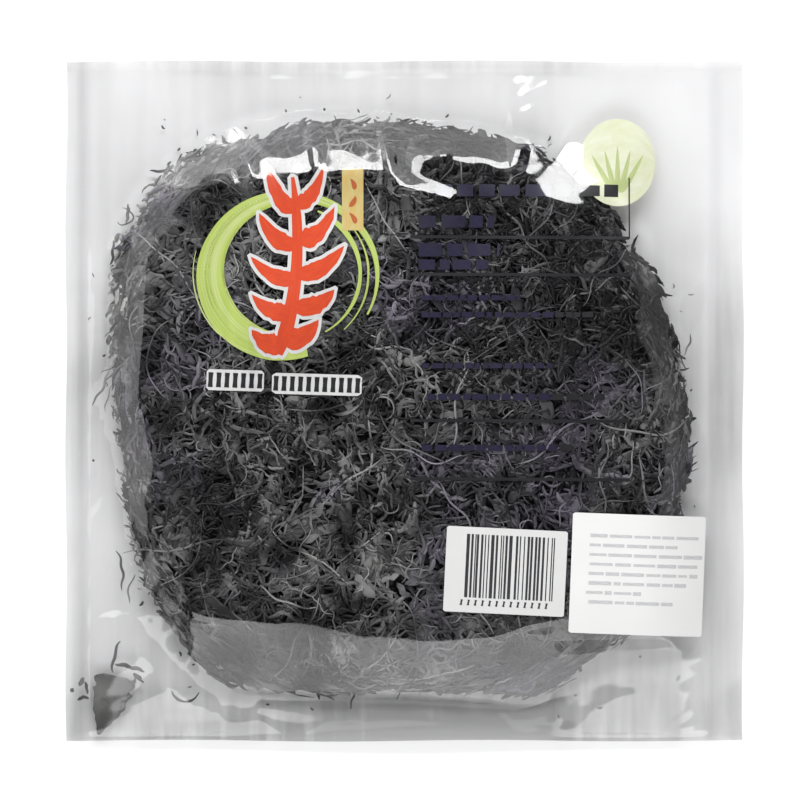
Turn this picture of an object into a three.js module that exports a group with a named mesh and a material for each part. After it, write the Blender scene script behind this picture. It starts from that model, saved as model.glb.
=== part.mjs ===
// A sealed clear bag that lies on its back, full of one round pressed cake of dried seaweed, with two
// paper stickers on its front. Millimetres: +X to the right, +Y up the front, +Z out of the front.
// The bag's film, the cake in it and the folds between them are one closed solid, out to the film.

import * as THREE from 'three';

// Driving dimensions
const BAG_WIDTH = 240;
const BAG_LENGTH = 241;
const SEAL_LEFT = 8;          // width of the flat seal along each side
const SEAL_RIGHT = 13;
const SEAL_TOP = 3.6;
const SEAL_BOTTOM = 2.6;
const SEAL_THICKNESS = 0.8;   // two films, crimped
const SEAL_RISE = 5.6;        // the seals hang about half way up the cake
const CORNER_DROOP = 2.6;     // and sink towards the table at the corners
const SEAL_WAVE = 0.5;        // and wave a little along their length
const SEAL_WAVE_LENGTH = 115;

const CAKE_X = -2.3;
const CAKE_Y = -1.8;
const CAKE_RADIUS = 107.4;
const CAKE_LOBES = [          // how the cake's outline departs from round: amount, direction in degrees
  [2.6, -107],
  [3.8, -106],
  [2.2, 7],
  [5.1, -161],
];
const CAKE_TOP = 15;
const RIM_HEIGHT = 10;        // the frayed rim is thinner
const RIM_START = 0.86;       // share of the radius where the top starts to fall to the rim
const BASE_SHARE = 0.88;      // the underside is flat out to this share of the radius

const LUMP_HEIGHT = 0.58;     // pressed fronds: waves of many lengths and headings, added up
const LUMP_LONGEST = 52;
const LUMP_WAVES = 10;
const LUMP_SHRINK = 0.84;     // each wave is this much shorter than the one before
const LUMP_ROUGHNESS = 0.6;   // how slowly the waves lose height as they shorten
const LUMP_WARP = 5;          // bends the waves, so that no straight ridge shows
const LUMP_WARP_LENGTH = 75;
const RIM_LUMPS = 0.5;        // share of the lumps left at the rim

const VEIL_START = -77;       // along the lower edge the film leaves the cake and runs down to the seal
const VEIL_SLOPE = 0.24;
const MARGIN_SAG = 0.85;      // below 1 the film sags between the cake and the seal

const FOLD_HEIGHT = 1.5;      // folds that fan out from the cake to each corner
const FOLD_WIDTH = 4.2;
const FOLDS_PER_CORNER = 4;
const FOLD_FAN = 15;          // degrees between two folds
const FOLD_UNEVEN = 5;        // degrees that a fold may stray
const PLEAT_HEIGHT = 0.55;    // finer pleats all round the margin
const PLEAT_COUNTS = [31, 47];
const FULL_MARGIN = 40;       // folds and pleats have their full height where the margin is this wide

const PITCH = 3.9;            // side of a facet on the front
const MARGIN_RINGS = 6;
const BACK_RINGS = 3;
const BASE_SPOKES = 12;
const BASE_HUB = 60;          // the flat base starts as one twelve-sided plate of this radius

const STICKER_THICKNESS = 0.3;
const STICKER_GAP = 0.35;     // clear of the film's facets
const STICKER_CELL = 4;
const BARCODE_STICKER = { name: 'label_barcode', x: 35.6, y: -60.1, width: 42.7, height: 30.2, turn: -2.8 };
const INFO_STICKER = { name: 'label_info', x: 82.3, y: -61.4, width: 47.4, height: 42.5, turn: -2.2 };
const BED_LEFT = 12;          // paper holds the film smooth under and round the two stickers
const BED_TOP = -36;
const BED_BOTTOM = -86;
const BED_FADE = 9;
const BED_HEIGHT = 15.6;
const BED_FALL_X = 80;        // from here the film curves down to the right seal
const BED_FALL_Y = -64;       // and below here to the lower one
const BED_FALL = 2.6;
const BACK_CURVE = 1.3;       // how late the back rises from the table to the seals

const GOLDEN_ANGLE = Math.PI * (3 - Math.sqrt(5));

const clearFilm = new THREE.MeshStandardMaterial({ color: 0x3b3942, roughness: 0.25, metalness: 0 });
const barcodePaper = new THREE.MeshStandardMaterial({ color: 0xe3e3e1, roughness: 0.55, metalness: 0 });
const infoPaper = new THREE.MeshStandardMaterial({ color: 0xf6f6f4, roughness: 0.55, metalness: 0 });

const smooth = THREE.MathUtils.smoothstep;
const mix = THREE.MathUtils.lerp;
const clamp = THREE.MathUtils.clamp;
const radians = THREE.MathUtils.degToRad;

// The inner lines of the four seals
const FIELD = {
  left: -BAG_WIDTH / 2 + SEAL_LEFT,
  right: BAG_WIDTH / 2 - SEAL_RIGHT,
  bottom: -BAG_LENGTH / 2 + SEAL_BOTTOM,
  top: BAG_LENGTH / 2 - SEAL_TOP,
};

function cakeRadius(angle) {
  return CAKE_LOBES.reduce(
    (radius, [amount, heading], index) => radius + amount * Math.cos((index + 1) * angle - radians(heading)),
    CAKE_RADIUS,
  );
}

// How far the seal is from the cake's middle in one direction
function sealDistance(angle) {
  const dx = Math.cos(angle);
  const dy = Math.sin(angle);
  const acrossX = (dx > 0 ? FIELD.right - CAKE_X : CAKE_X - FIELD.left) / Math.max(Math.abs(dx), 1e-9);
  const acrossY = (dy > 0 ? FIELD.top - CAKE_Y : CAKE_Y - FIELD.bottom) / Math.max(Math.abs(dy), 1e-9);
  return Math.min(acrossX, acrossY);
}

// The mid-plane of the seals: highest half way along a side, lower at the corners, a little wavy
function sealLevel(x, y) {
  const corner = (Math.abs(x) / (BAG_WIDTH / 2) * Math.abs(y) / (BAG_LENGTH / 2)) ** 2;
  const turns = 2 * Math.PI / SEAL_WAVE_LENGTH;
  return SEAL_RISE - CORNER_DROOP * corner + SEAL_WAVE * (Math.sin(turns * x + 1) + Math.sin(turns * y - 1));
}

// The uneven top of the pressed fronds, about zero on average
function lumps(x, y) {
  const warpX = x + LUMP_WARP * Math.sin(2 * Math.PI * y / LUMP_WARP_LENGTH);
  const warpY = y + LUMP_WARP * Math.sin(2 * Math.PI * x / LUMP_WARP_LENGTH);
  let height = 0;
  for (let wave = 0; wave < LUMP_WAVES; wave += 1) {
    const heading = wave * GOLDEN_ANGLE;
    const length = LUMP_LONGEST * LUMP_SHRINK ** wave;
    const along = warpX * Math.cos(heading) + warpY * Math.sin(heading);
    const amount = LUMP_HEIGHT * (length / LUMP_LONGEST) ** LUMP_ROUGHNESS;
    height += amount * Math.sin(2 * Math.PI * along / length + wave);
  }
  return height;
}

// Straight folds from the cake's rim to the corners
function cornerFolds(angle, radius) {
  let height = 0;
  for (let corner = 0; corner < 4; corner += 1) {
    for (let fold = 0; fold < FOLDS_PER_CORNER; fold += 1) {
      const stray = FOLD_UNEVEN * Math.sin(corner * FOLDS_PER_CORNER + fold);
      const spread = (fold - (FOLDS_PER_CORNER - 1) / 2) * FOLD_FAN;
      const heading = radians(45 + 90 * corner + spread + stray);
      const turned = Math.atan2(Math.sin(angle - heading), Math.cos(angle - heading));
      const aside = Math.abs(turned) * radius;
      height += FOLD_HEIGHT * Math.max(0, 1 - aside / FOLD_WIDTH);
    }
  }
  return height;
}

function pleats(angle) {
  return PLEAT_HEIGHT * PLEAT_COUNTS.reduce((sum, count, index) => sum + Math.sin(count * angle + index), 0);
}

// Where a point lies between the cake and the seals
function placeOf(x, y) {
  const angle = Math.atan2(y - CAKE_Y, x - CAKE_X);
  const radius = Math.hypot(x - CAKE_X, y - CAKE_Y);
  const rim = cakeRadius(angle);
  const seal = sealDistance(angle);
  return { angle, share: radius / rim, along: clamp((radius - rim) / (seal - rim), 0, 1), radius, rim, seal };
}

// 1 under the stickers, falling to 0 a little way outside them
function bedMask(x, y) {
  const outside = Math.hypot(Math.max(BED_LEFT - x, 0), Math.max(BED_BOTTOM - y, y - BED_TOP, 0));
  return 1 - smooth(outside, 0, BED_FADE);
}

function bedHeight(x, y) {
  const acrossX = clamp((x - BED_FALL_X) / (FIELD.right - BED_FALL_X), 0, 1);
  const acrossY = Math.max((BED_FALL_Y - y) / (BED_FALL_Y - BED_BOTTOM), 0);
  const sealTop = sealLevel(x, y) + SEAL_THICKNESS / 2;
  return mix(BED_HEIGHT - BED_FALL * acrossY ** 2, sealTop, acrossX ** 2);
}

// The film over the front
function frontHeight(x, y) {
  const { angle, share, along, radius, rim, seal } = placeOf(x, y);
  const sealTop = sealLevel(x, y) + SEAL_THICKNESS / 2;
  const rimward = smooth(share, RIM_START, 1);
  const taut = mix(mix(CAKE_TOP, RIM_HEIGHT, rimward), sealTop, along ** MARGIN_SAG);
  const free = taut + lumps(x, y) * (1 - along) * mix(1, RIM_LUMPS, rimward);
  const veil = CAKE_TOP + VEIL_SLOPE * (y - VEIL_START);
  const draped = Math.min(free, mix(veil, free, along ** 2));
  const room = Math.min(1, (seal - rim) / FULL_MARGIN) * Math.sin(Math.PI * along);
  const folded = draped + room * (cornerFolds(angle, radius) + pleats(angle));
  return mix(folded, bedHeight(x, y), bedMask(x, y) * (along < 1 ? 1 : 0));
}

// The film over the back: flat under the cake, rising to the seals
function backHeight(x, y) {
  const { radius, rim, seal } = placeOf(x, y);
  const start = rim * BASE_SHARE;
  const rise = clamp((radius - start) / (seal - start), 0, 1);
  return (sealLevel(x, y) - SEAL_THICKNESS / 2) * rise ** BACK_CURVE;
}

// A point `turn` of the way round a rectangle, from the middle of its right side
function onRectangle(turn, left, right, bottom, top) {
  const eighths = turn * 8;
  const side = Math.floor((eighths + 1) / 2);
  const step = eighths - 2 * side;
  const [u, v] = [[1, step], [-step, 1], [-1, -step], [step, -1]][side % 4];
  return [mix(left, right, (u + 1) / 2), mix(bottom, top, (v + 1) / 2)];
}

// One ring of `count` points. `share` up to 1 is on the cake, 1 to 2 in the margin, 3 on the bag's edge.
function ring(count, share) {
  const points = [];
  for (let index = 0; index < count; index += 1) {
    const turn = index / count;
    const angle = turn * 2 * Math.PI;
    const radius = cakeRadius(angle) * Math.min(share, 1);
    const rim = [CAKE_X + radius * Math.cos(angle), CAKE_Y + radius * Math.sin(angle)];
    const seal = onRectangle(turn, FIELD.left, FIELD.right, FIELD.bottom, FIELD.top);
    const edge = onRectangle(turn, -BAG_WIDTH / 2, BAG_WIDTH / 2, -BAG_LENGTH / 2, BAG_LENGTH / 2);
    const outward = clamp(share - 1, 0, 1);
    const point = share > 2 ? edge : [mix(rim[0], seal[0], outward), mix(rim[1], seal[1], outward)];
    points.push(point);
  }
  return points;
}

// Collects points and triangles; every strip between two rings is zipped up by how far round each point is
class Shell {
  constructor() {
    this.positions = [];
    this.triangles = [];
  }

  addRing(points, heightAt) {
    const first = this.positions.length / 3;
    points.forEach(([x, y]) => this.positions.push(x, y, heightAt(x, y)));
    return points.map((point, index) => first + index);
  }

  addPoint(x, y, z) {
    this.positions.push(x, y, z);
    return this.positions.length / 3 - 1;
  }

  face(a, b, c, facingUp) {
    this.triangles.push(...(facingUp ? [a, b, c] : [a, c, b]));
  }

  zip(outer, inner, facingUp) {
    let i = 0;
    let j = 0;
    while (i < outer.length || j < inner.length) {
      const outerNext = (i + 1) / outer.length;
      const innerNext = (j + 1) / inner.length;
      const a = outer[i % outer.length];
      const b = inner[j % inner.length];
      if (i < outer.length && (j >= inner.length || outerNext <= innerNext)) {
        this.face(a, outer[(i + 1) % outer.length], b, facingUp);
        i += 1;
      } else {
        this.face(a, inner[(j + 1) % inner.length], b, facingUp);
        j += 1;
      }
    }
  }

  fan(loop, x, y, z, facingUp) {
    const hub = this.addPoint(x, y, z);
    loop.forEach((point, index) => this.face(point, loop[(index + 1) % loop.length], hub, facingUp));
  }

  geometry() {
    const geometry = new THREE.BufferGeometry();
    geometry.setAttribute('position', new THREE.Float32BufferAttribute(this.positions, 3));
    geometry.setIndex(this.triangles);
    return geometry;
  }
}

function bagGeometry() {
  const shell = new Shell();
  const around = 8 * Math.round(2 * Math.PI * CAKE_RADIUS / PITCH / 8);
  const sealTop = (x, y) => sealLevel(x, y) + SEAL_THICKNESS / 2;
  const sealBottom = (x, y) => sealLevel(x, y) - SEAL_THICKNESS / 2;

  // Front: the seal's flat band, the margin, then ring after ring over the cake to its middle
  const frontEdge = shell.addRing(ring(around, 3), sealTop);
  let outer = frontEdge;
  for (let step = MARGIN_RINGS; step > 0; step -= 1) {
    const heightAt = step === MARGIN_RINGS ? sealTop : frontHeight;
    const inner = shell.addRing(ring(around, 1 + step / MARGIN_RINGS), heightAt);
    shell.zip(outer, inner, true);
    outer = inner;
  }
  const cakeRings = Math.round(CAKE_RADIUS / PITCH);
  for (let step = cakeRings; step > 0; step -= 1) {
    const count = Math.max(8, Math.round(around * step / cakeRings));
    const inner = shell.addRing(ring(count, step / cakeRings), frontHeight);
    shell.zip(outer, inner, true);
    outer = inner;
  }
  shell.fan(outer, CAKE_X, CAKE_Y, frontHeight(CAKE_X, CAKE_Y), true);

  // The crimped edge, then the back in fewer and larger facets
  const backEdge = shell.addRing(ring(around, 3), sealBottom);
  shell.zip(backEdge, frontEdge, true);
  outer = shell.addRing(ring(around / 2, 2), sealBottom);
  shell.zip(backEdge, outer, false);
  for (let step = BACK_RINGS - 1; step >= 0; step -= 1) {
    const inner = shell.addRing(ring(around / 2, mix(BASE_SHARE, 2, step / BACK_RINGS)), backHeight);
    shell.zip(outer, inner, false);
    outer = inner;
  }
  const hub = shell.addRing(ring(BASE_SPOKES, BASE_HUB / CAKE_RADIUS), () => 0);
  shell.zip(outer, hub, false);
  shell.fan(hub, CAKE_X, CAKE_Y, 0, false);
  return shell.geometry();
}

// A sheet of sticker paper that follows the film under it, both faces split alike
function stickerGeometry({ x, y, width, height, turn }) {
  const shell = new Shell();
  const columns = Math.round(width / STICKER_CELL);
  const rows = Math.round(height / STICKER_CELL);
  const angle = radians(turn);
  const layer = (lift) => {
    const grid = [];
    for (let row = 0; row <= rows; row += 1) {
      for (let column = 0; column <= columns; column += 1) {
        const u = (column / columns - 0.5) * width;
        const v = (row / rows - 0.5) * height;
        const worldX = x + u * Math.cos(angle) - v * Math.sin(angle);
        const worldY = y + u * Math.sin(angle) + v * Math.cos(angle);
        grid.push(shell.addPoint(u, v, frontHeight(worldX, worldY) + lift));
      }
    }
    return grid;
  };
  const under = layer(STICKER_GAP);
  const over = layer(STICKER_GAP + STICKER_THICKNESS);
  const at = (row, column) => row * (columns + 1) + column;
  for (let row = 0; row < rows; row += 1) {
    for (let column = 0; column < columns; column += 1) {
      const [a, b] = [at(row, column), at(row, column + 1)];
      const [c, d] = [at(row + 1, column), at(row + 1, column + 1)];
      shell.face(over[a], over[b], over[d], true);
      shell.face(over[a], over[d], over[c], true);
      shell.face(under[a], under[b], under[d], false);
      shell.face(under[a], under[d], under[c], false);
    }
  }
  const border = [];
  for (let column = 0; column < columns; column += 1) border.push(at(0, column));
  for (let row = 0; row < rows; row += 1) border.push(at(row, columns));
  for (let column = columns; column > 0; column -= 1) border.push(at(rows, column));
  for (let row = rows; row > 0; row -= 1) border.push(at(row, 0));
  shell.zip(border.map((point) => under[point]), border.map((point) => over[point]), true);
  return shell.geometry();
}

function sticker(shape, material) {
  const mesh = new THREE.Mesh(stickerGeometry(shape), material);
  mesh.name = shape.name;
  mesh.position.set(shape.x, shape.y, 0);
  mesh.rotation.z = radians(shape.turn);
  return mesh;
}

const bag = new THREE.Mesh(bagGeometry(), clearFilm);
bag.name = 'bag';

const group = new THREE.Group();
group.add(bag);
group.add(sticker(BARCODE_STICKER, barcodePaper));
group.add(sticker(INFO_STICKER, infoPaper));

export default group;
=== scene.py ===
import math

import bpy
import numpy as np
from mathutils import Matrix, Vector
from mathutils.bvhtree import BVHTree


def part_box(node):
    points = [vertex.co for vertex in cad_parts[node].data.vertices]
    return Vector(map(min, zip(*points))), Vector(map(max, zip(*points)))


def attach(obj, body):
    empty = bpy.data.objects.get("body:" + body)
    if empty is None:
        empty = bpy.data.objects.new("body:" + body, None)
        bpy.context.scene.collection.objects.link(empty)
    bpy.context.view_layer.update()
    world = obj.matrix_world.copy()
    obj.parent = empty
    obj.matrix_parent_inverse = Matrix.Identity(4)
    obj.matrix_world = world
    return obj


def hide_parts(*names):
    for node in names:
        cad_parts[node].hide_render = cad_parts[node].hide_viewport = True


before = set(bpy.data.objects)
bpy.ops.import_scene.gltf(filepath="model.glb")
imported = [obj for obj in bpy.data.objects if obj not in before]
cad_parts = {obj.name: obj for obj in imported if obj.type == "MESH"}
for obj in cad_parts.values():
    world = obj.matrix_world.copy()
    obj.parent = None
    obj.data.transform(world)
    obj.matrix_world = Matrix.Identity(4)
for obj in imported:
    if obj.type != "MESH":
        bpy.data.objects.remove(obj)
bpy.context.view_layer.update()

mm = 0.001

# The film: two sheets of clear polypropylene, glossy and a little hazy, drawn tight over a round cake of
# dried seaweed and welded flat along all four sides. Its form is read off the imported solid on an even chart
# of the bag, folded and creased there, and laid on one closed skin.
chart_cells = 256
seal_left, seal_right = 8 * mm, 13 * mm
seal_top, seal_bottom = 3.6 * mm, 2.6 * mm
weld_gap = 0.15 * mm
cake_middle = (-2.3 * mm, -1.8 * mm)
cake_size = 107.4 * mm
cake_lobes = ((2.6 * mm, -107), (3.8 * mm, -106), (2.2 * mm, 7), (5.1 * mm, -161))
film_slack = 7 * mm
film_lift = 0.35 * mm
lumps_kept = 0.18
solid_grain = 1.3 * mm
crisp_turn = 1.5 * mm

bag_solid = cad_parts["bag"]
bag_low, bag_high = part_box("bag")
chart_x = np.linspace(bag_low.x, bag_high.x, chart_cells + 1)
chart_y = np.linspace(bag_low.y, bag_high.y, chart_cells + 1)
chart_step = chart_x[1] - chart_x[0]
grid_x, grid_y = np.meshgrid(chart_x, chart_y)


def ease(value, low, high):
    """0 up to low, 1 from high on."""
    share = np.clip((value - low) / (high - low), 0, 1)
    return share * share * (3 - 2 * share)


def fade(value, low, high):
    """1 up to low, 0 from high on."""
    return 1 - ease(value, low, high)


def between(value, start, full, ebb, stop):
    """1 from full to ebb, and 0 before start and after stop. All four are in millimetres."""
    return ease(value, start * mm, full * mm) * fade(value, ebb * mm, stop * mm)


def solid_heights(solid, start, heading):
    tree = BVHTree.FromObject(solid, bpy.context.evaluated_depsgraph_get())
    keep_in = 0.3 * mm
    heights = np.zeros(grid_x.shape)
    for row, y in enumerate(np.clip(chart_y, bag_low.y + keep_in, bag_high.y - keep_in)):
        for column, x in enumerate(np.clip(chart_x, bag_low.x + keep_in, bag_high.x - keep_in)):
            hit = tree.ray_cast(Vector((x, y, start)), Vector((0, 0, heading)))[0]
            heights[row, column] = hit.z if hit else 0
    return heights


def blurred(field, radius):
    reach = int(3 * radius / chart_step) + 1
    steps = np.arange(-reach, reach + 1) * chart_step
    weights = np.exp(-0.5 * (steps / radius) ** 2)
    weights /= weights.sum()
    soft = np.pad(field, reach, mode="edge")
    for way in (0, 1):
        soft = np.apply_along_axis(lambda line: np.convolve(line, weights, mode="valid"), way, soft)
    return soft


def chart_noise(seed, grain):
    """An even random field with bumps of one size, about -1 to 1."""
    field = blurred(np.random.default_rng(seed).standard_normal(grid_x.shape), grain)
    return field / (2 * field.std())


def on_chart(field, x, y):
    """A field's values at any points of the bag."""
    column = np.clip((x - chart_x[0]) / (chart_x[-1] - chart_x[0]) * chart_cells, 0, chart_cells - 1e-6)
    row = np.clip((y - chart_y[0]) / (chart_y[-1] - chart_y[0]) * chart_cells, 0, chart_cells - 1e-6)
    left, below = column.astype(int), row.astype(int)
    u, v = column - left, row - below
    lower = field[below, left] * (1 - u) + field[below, left + 1] * u
    upper = field[below + 1, left] * (1 - u) + field[below + 1, left + 1] * u
    return lower * (1 - v) + upper * v


def cake_radius(angle):
    radius = np.full(np.shape(angle), cake_size)
    for turn, (amount, heading) in enumerate(cake_lobes, start=1):
        radius += amount * np.cos(turn * angle - math.radians(heading))
    return radius


def cake_share(x, y):
    """0 at the cake's middle, 1 at its rim."""
    dx, dy = x - cake_middle[0], y - cake_middle[1]
    return np.hypot(dx, dy) / cake_radius(np.arctan2(dy, dx))


def part_way(field, other, share):
    return field + (other - field) * share


def line_across(x_points, y_points):
    """How far up the bag a line across it lies, all over the chart, from points in millimetres."""
    heights = np.interp(chart_x, np.array(x_points) * mm, np.array(y_points) * mm)
    return np.tile(heights, (chart_cells + 1, 1))


def beside(start, stop):
    """How far the chart's points lie along and beside a line, and the line's length."""
    length = np.linalg.norm(stop - start)
    ahead = (stop - start) / length
    along = (grid_x - start[0]) * ahead[0] + (grid_y - start[1]) * ahead[1]
    aside = (grid_y - start[1]) * ahead[0] - (grid_x - start[0]) * ahead[1]
    return along, aside, length


def sharp_folds(seed, spacing, count):
    """Creases of stiff film: flat facets that meet along crisp lines, about -1 to 1."""
    rng = np.random.default_rng(seed)
    bend_x = grid_x + 0.35 * spacing * chart_noise(seed + 1, spacing)
    bend_y = grid_y + 0.35 * spacing * chart_noise(seed + 2, spacing)
    total = np.zeros(grid_x.shape)
    for heading in rng.uniform(0, math.pi, count):
        length = spacing * rng.uniform(0.7, 1.5)
        phase = (bend_x * math.cos(heading) + bend_y * math.sin(heading)) / length + rng.uniform()
        total += np.abs(2 * (phase - np.floor(phase)) - 1) * 2 - 1
    return total / math.sqrt(count)


solid_front = solid_heights(bag_solid, 60 * mm, -1)
solid_back = solid_heights(bag_solid, -60 * mm, 1)

share_of_cake = cake_share(grid_x, grid_y)
over_cake = fade(share_of_cake, 0.9, 1.03)
inside_seals = np.minimum.reduce([
    grid_x - bag_low.x - seal_left,
    bag_high.x - seal_right - grid_x,
    grid_y - bag_low.y - seal_bottom,
    bag_high.y - seal_top - grid_y,
])
in_seal = fade(inside_seals, -0.6 * mm, 0.6 * mm)
margin = (1 - over_cake) * (1 - in_seal)

# The film lies flat under the stickers
under_paper = np.zeros(grid_x.shape)
for sticker in ("label_barcode", "label_info"):
    low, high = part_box(sticker)
    outside = np.hypot(
        np.maximum(np.maximum(low.x - grid_x, grid_x - high.x), 0),
        np.maximum(np.maximum(low.y - grid_y, grid_y - high.y), 0),
    )
    under_paper = np.maximum(under_paper, fade(outside, 0, 7 * mm))

# Along the lower edge the film leaves the cake at a crisp line, with a low brow on it, and runs straight down
# past the cake's side
edge_softness, hang_softness = 3 * mm, 5 * mm
leave_x = (-125, -96, -62, -38, -14, 12, 30, 48, 62, 125)
leave_y = (-70, -75, -78, -79, -86, -88, -85, -76, -71, -70)
leave_line = blurred(line_across(leave_x, leave_y), edge_softness)
leave_slope = 0.32
brow_height, brow_reach = 1.2 * mm, 9 * mm

lumpy = blurred(solid_front, solid_grain)
calm = blurred(solid_front, film_slack)
taut = calm + lumps_kept * (lumpy - calm) + film_lift
front_film = lumpy + (taut - lumpy) * over_cake * (1 - under_paper)
below_line = leave_line - grid_y
front_film += brow_height * np.exp(-(below_line / brow_reach) ** 2) * over_cake * (1 - under_paper)
veil = blurred(on_chart(front_film, grid_x, leave_line), hang_softness) - leave_slope * below_line
in_veil = ease(below_line, 0, crisp_turn) * (1 - under_paper) * fade(share_of_cake, 1.05, 1.13)
front_film = part_way(front_film, veil, in_veil)

# From the cake's lower edge it drops at once, and then lies nearly flat as far as the seal
foot_x = (-125, -70, -60, -48, -28, -1, 24, 50, 54, 64, 125)
foot_y = (-98, -98, -101.7, -103, -103.5, -104.2, -106, -107.7, -101, -95, -95)
run_slope = 0.06
weld = (solid_front + solid_back) / 2
flat_run = weld + weld_gap + run_slope * (grid_y - bag_low.y - seal_bottom)
on_run = ease(line_across(foot_x, foot_y) - grid_y, 0, 2 * mm)
on_run *= between(grid_x, -66, -48, 51, 56)
front_film = part_way(front_film, np.minimum(front_film, flat_run), on_run)

# Down its left side it leaves the cake at an upright line and falls in one long facet
side_y = np.array([-125, -60, -36, -14, 0, 25, 48, 125]) * mm
side_x = np.array([-97, -97, -96.5, -95.5, -94.5, -92, -91.5, -91.5]) * mm
side_line = np.tile(np.interp(chart_y, side_y, side_x)[:, None], (1, chart_cells + 1))
side_line = blurred(side_line, edge_softness)
side_slope = 0.47
past_side = side_line - grid_x
side_film = blurred(on_chart(front_film, side_line, grid_y), hang_softness) - side_slope * past_side
on_side = ease(past_side, 0, crisp_turn) * fade(share_of_cake, 1.0, 1.06)
on_side *= between(grid_y, -56, -40, 42, 54)
front_film = part_way(front_film, side_film, on_side)

# Over the upper rim it runs down in two steps, gently and then steeply, and from the rim's foot it is drawn
# straight to the seal. Right of the middle it drops a little less, and far right much less.
step_shares = (0.81, 0.87, 0.90, 1.025)
left_drops = np.array([0, -2.1, -3.1, -9.2]) * mm
right_drops = np.array([0, -1.0, -1.9, -8.2]) * mm
side_drops = np.array([0, -0.9, -1.5, -5.0]) * mm
out_x, out_y = grid_x - cake_middle[0], grid_y - cake_middle[1]
to_step = step_shares[0] / np.maximum(share_of_cake, 0.05)
step_height = blurred(on_chart(front_film, cake_middle[0] + out_x * to_step, cake_middle[1] + out_y * to_step),
                      4 * mm)
to_seal = np.minimum((bag_high.y - seal_top - cake_middle[1]) / np.maximum(out_y, 1 * mm),
                     (bag_high.x - seal_right - cake_middle[0]) / np.maximum(np.abs(out_x), 1 * mm))
seal_height = on_chart(weld, cake_middle[0] + out_x * to_seal, cake_middle[1] + out_y * to_seal)
rim_foot = step_shares[-1]
run_out = np.clip((share_of_cake - rim_foot) / np.maximum(share_of_cake * to_seal - rim_foot, 0.05), 0, 1)
on_left = fade(grid_x, 2 * mm, 12 * mm)
far_right = ease(grid_x, 34 * mm, 40 * mm)
drop = on_left * np.interp(share_of_cake, step_shares, left_drops)
drop += (1 - on_left) * np.interp(share_of_cake, step_shares, right_drops)
drop = part_way(drop, np.interp(share_of_cake, step_shares, side_drops), far_right)
upper_film = part_way(step_height + drop, seal_height, run_out)

# One facet on the right faces the top of the bag, and throws the light back in a broad white patch
facet_x, facet_start, facet_stop = 57 * mm, 73 * mm, 92 * mm
facet_slope, facet_lean = 0.30, 0.08
facet = on_chart(upper_film, np.array(facet_x), np.array(facet_start)) - facet_lean * (grid_x - facet_x)
facet -= facet_slope * (np.clip(grid_y, None, facet_stop) - facet_start)
past_facet = np.clip((grid_y - facet_stop) / (bag_high.y - seal_top - facet_stop), 0, 1)
facet = part_way(facet, seal_height, past_facet)
facet_left = 45 * mm + 0.5 * np.maximum(grid_y - 75 * mm, 0)
in_facet = ease(grid_x - facet_left, 0, 4 * mm) * fade(grid_x, 62 * mm, 66 * mm)
in_facet *= ease(grid_y, facet_start - 1.5 * mm, facet_start + 0.5 * mm)
upper_film = part_way(upper_film, facet, in_facet)
in_upper = ease(grid_y, 46 * mm, 72 * mm) * ease(share_of_cake, 0.79, 0.82)
front_film = part_way(front_film, blurred(upper_film, 1.2 * mm), in_upper)

# Creases from start to stop, with their height and half width, in millimetres: six pulled in over the cake's
# upper rim, which break the light there into patches, one low on the cake and two at the bottom of the bag
for start, stop, height, half_width in (
        ((-33, 98), (-30, 80), 0.9, 2.6), ((-8, 99), (-3, 74), 0.8, 2.2), ((1, 97), (-1, 82), -0.7, 2.4),
        ((16, 96), (13, 84), 0.9, 2.4), ((41, 92), (38, 78), 0.8, 2.6), ((-57, 88), (-52, 76), 0.7, 2.6),
        ((-17, -44), (-8, -46.5), 0.45, 1.2),
        ((-36, -117.5), (-27, -113.8), 0.6, 1.6), ((-28, -114.2), (-15, -112.4), 0.6, 1.6)):
    along, aside, length = beside(np.array(start) * mm, np.array(stop) * mm)
    ends = ease(along, -0.2 * length, 0.3 * length) * fade(along, 0.7 * length, 1.2 * length)
    front_film += height * mm * ends * np.exp(-(aside / (half_width * mm)) ** 2) * (1 - in_seal)

# One flat fold below them, steep on the side towards the top of the bag
fold_height, steep_side, gentle_side = 1.8 * mm, 5.5 * mm, 12 * mm
along, aside, length = beside(np.array((-6, 76.5)) * mm, np.array((22, 68.6)) * mm)
fold_share = np.clip(np.minimum(1 - aside / steep_side, 1 + aside / gentle_side), 0, 1)
fold_ends = ease(along, -2 * mm, 7 * mm) * fade(along, 0.75 * length, 1.1 * length)
front_film += fold_height * blurred(fold_share * fold_ends, 0.5 * mm)

back_film = blurred(solid_back, solid_grain)
back_film = part_way(back_film, weld - weld_gap / 2, in_seal)
front_film = part_way(front_film, weld + weld_gap / 2, in_seal)

# The film lies calm over the scrap in the lower left corner, and in long soft swells right of the cake's foot
calm_corner = np.exp(-np.hypot(grid_x + 106 * mm, grid_y + 108 * mm) ** 2 / (15 * mm) ** 2) * (1 - in_seal)
calm_right = margin * ease(grid_x, 50 * mm, 58 * mm) * fade(grid_y, -92 * mm, -78 * mm) * (1 - under_paper)
front_film = part_way(front_film, blurred(front_film, 6 * mm), np.maximum(calm_corner, calm_right))

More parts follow.
